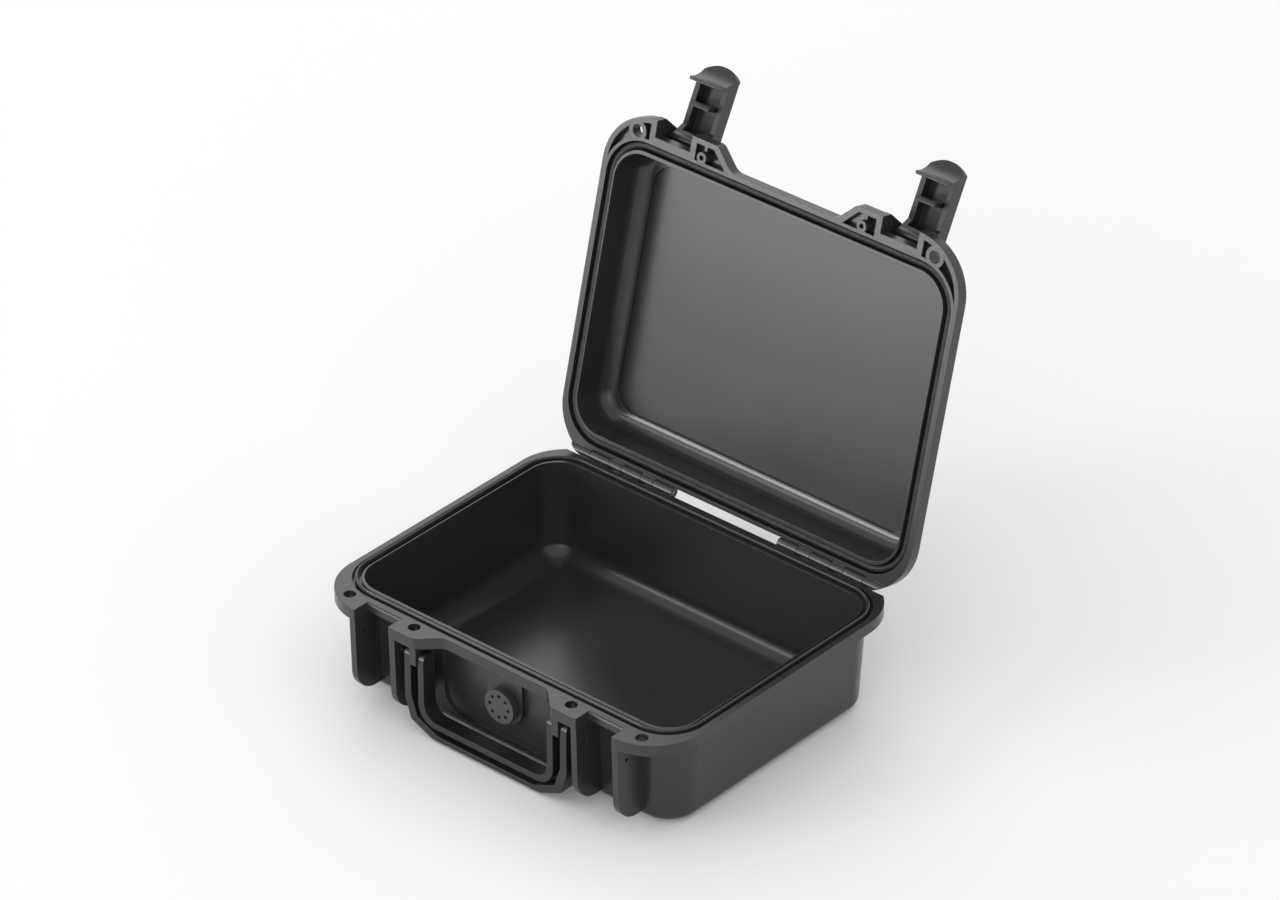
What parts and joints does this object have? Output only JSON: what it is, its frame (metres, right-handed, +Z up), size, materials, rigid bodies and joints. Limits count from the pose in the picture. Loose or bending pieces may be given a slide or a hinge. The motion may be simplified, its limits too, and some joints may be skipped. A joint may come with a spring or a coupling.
{
  "type": "protective case",
  "caption": "Small hard protective case, lid open, with sealed rim, two flip latches, folding carry handle, pinned hinge, padlock holes and pressure valve.",
  "frame": {"origin": "on the floor under the middle of the seal", "axes": "+X to the right seen from the front, +Y to the hinge, +Z up"},
  "size_m": [0.27, 0.3142, 0.3013],
  "materials": {
    "shell_plastic": "moulded satin black",
    "latch_plastic": "moulded satin black",
    "handle_plastic": "moulded satin black",
    "gasket_rubber": "smooth dark rubber",
    "pin_steel": "plain steel pin",
    "valve_plastic": "moulded satin black",
    "membrane_film": "thin white vent film"
  },
  "bodies": {
    "base": {"base_shell": "shell_plastic", "left_hinge_pin": "pin_steel", "right_hinge_pin": "pin_steel", "left_handle_pin": "pin_steel", "right_handle_pin": "pin_steel", "valve_cap": "valve_plastic", "valve_body": "valve_plastic", "valve_washer": "gasket_rubber", "valve_membrane": "membrane_film", "valve_nut": "valve_plastic"},
    "lid": {"lid_shell": "shell_plastic", "lid_gasket": "gasket_rubber", "left_latch_pin": "pin_steel", "right_latch_pin": "pin_steel"},
    "left_latch": {"left_latch": "latch_plastic"},
    "right_latch": {"right_latch": "latch_plastic"},
    "handle": {"carry_handle": "handle_plastic"}
  },
  "joints": [
    {"name": "lid_hinge", "type": "hinge", "parent": "base", "child": "lid", "pos_m": [0, 0.1035, 0.0689], "axis": [1, 0, 0], "range_deg": [0, 104]},
    {"name": "left_latch_hinge", "type": "hinge", "parent": "lid", "child": "left_latch", "pos_m": [-0.08575, 0.16745, 0.26464], "axis": [1, 0, 0], "range_deg": [0, 103.5]},
    {"name": "right_latch_hinge", "type": "hinge", "parent": "lid", "child": "right_latch", "pos_m": [0.08575, 0.16745, 0.26464], "axis": [1, 0, 0], "range_deg": [0, 103.5]},
    {"name": "handle_hinge", "type": "hinge", "parent": "base", "child": "handle", "pos_m": [0, -0.1049, 0.0499], "axis": [1, 0, 0], "range_deg": [-108, 0]}
  ]
}
